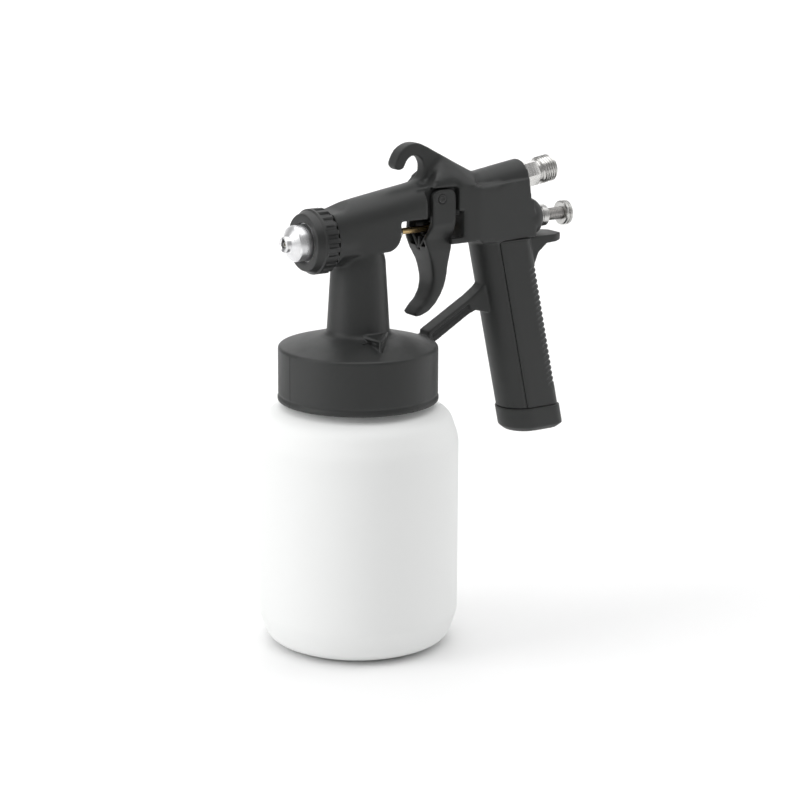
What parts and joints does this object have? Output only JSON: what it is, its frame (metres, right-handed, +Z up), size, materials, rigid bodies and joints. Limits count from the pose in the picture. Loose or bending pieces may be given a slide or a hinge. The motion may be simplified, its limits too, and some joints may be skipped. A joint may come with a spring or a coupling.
{
  "type": "siphon cup spray gun",
  "caption": "Hand-held siphon-cup paint spray gun: black moulded body with trigger, ribbed nozzle ring and a translucent screw-on cup.",
  "frame": {"origin": "centre of the cup's flat base, on the surface it stands on", "axes": "+Z up along the cup's axis; the spray leaves along -X; the hose and handle are at +X; the gun is symmetric about Y = 0 except for the vent hood"},
  "size_m": [0.1674, 0.094, 0.2345],
  "materials": {
    "black_moulding": "matte",
    "grip_plastic": "matte",
    "ring_plastic": "satin",
    "trigger_plastic": "matte",
    "pin_plastic": "satin",
    "turned_aluminium": "turned",
    "nickel": "plated",
    "brass": "turned",
    "spring_steel": "bright",
    "stud_steel": "threaded",
    "seal_plastic": "smooth",
    "tube_plastic": "translucent",
    "gasket_rubber": "soft",
    "cup_plastic": "translucent"
  },
  "bodies": {
    "gun": {"gun_body": "black_moulding", "cup_lid": "black_moulding", "handle_front": "black_moulding", "handle_brace": "black_moulding", "handle_insert": "grip_plastic", "handle_end_cap": "grip_plastic", "fluid_nozzle": "nickel", "nozzle_seal": "seal_plastic", "needle_packing": "seal_plastic", "packing_nut": "nickel", "needle_spring": "spring_steel", "adjuster_bush": "nickel", "trigger_pins": "pin_plastic", "air_inlet": "nickel", "inlet_seal": "seal_plastic", "siphon_nipple": "brass", "siphon_tube": "tube_plastic"},
    "ring": {"retaining_ring": "ring_plastic"},
    "cap": {"air_cap": "turned_aluminium"},
    "needle": {"needle": "brass", "needle_collar": "nickel"},
    "trigger": {"trigger": "trigger_plastic"},
    "stud": {"adjuster_stud": "stud_steel"},
    "knob": {"adjuster_knob": "nickel"},
    "gasket": {"cup_gasket": "gasket_rubber"},
    "cup": {"paint_cup": "cup_plastic"}
  },
  "joints": [
    {"name": "trigger_pull", "type": "hinge", "parent": "gun", "child": "trigger", "pos_m": [0.039, 0, 0.2087], "axis": [0, -1, 0], "range_deg": [0, 11], "stiffness_Nm_per_rad": 0.6, "springref_deg": -17.19},
    {"name": "needle_slide", "type": "slide", "parent": "gun", "child": "needle", "axis": [1, 0, 0], "range_m": [0, 0.0032], "deforming": ["needle_spring"]},
    {"name": "ring_turn", "type": "hinge", "parent": "gun", "child": "ring", "pos_m": [-0.024, 0, 0.1934], "axis": [1, 0, 0], "range_deg": [0, 180]},
    {"name": "air_cap_turn", "type": "hinge", "parent": "gun", "child": "cap", "pos_m": [-0.034, 0, 0.1934], "axis": [1, 0, 0], "range_deg": [0, 90]},
    {"name": "adjuster_turn", "type": "hinge", "parent": "stud", "child": "knob", "pos_m": [0.118, 0, 0.1934], "axis": [1, 0, 0], "range_deg": [-720, 720]},
    {"name": "adjuster_advance", "type": "slide", "parent": "gun", "child": "stud", "axis": [1, 0, 0], "range_m": [-0.002, 0.002]},
    {"name": "cup_drop", "type": "slide", "parent": "gun", "child": "gasket", "axis": [0, 0, -1], "range_m": [0, 0.14]},
    {"name": "cup_turn", "type": "hinge", "parent": "gasket", "child": "cup", "pos_m": [0, 0, 0.06], "axis": [0, 0, 1], "range_deg": [-540, 0]}
  ],
  "couplings": [
    {"joint": "needle_slide", "follows": "trigger_pull", "m_per_rad": 0.0153},
    {"joint": "adjuster_advance", "follows": "adjuster_turn", "m_per_rad": 0.00015915}
  ]
}
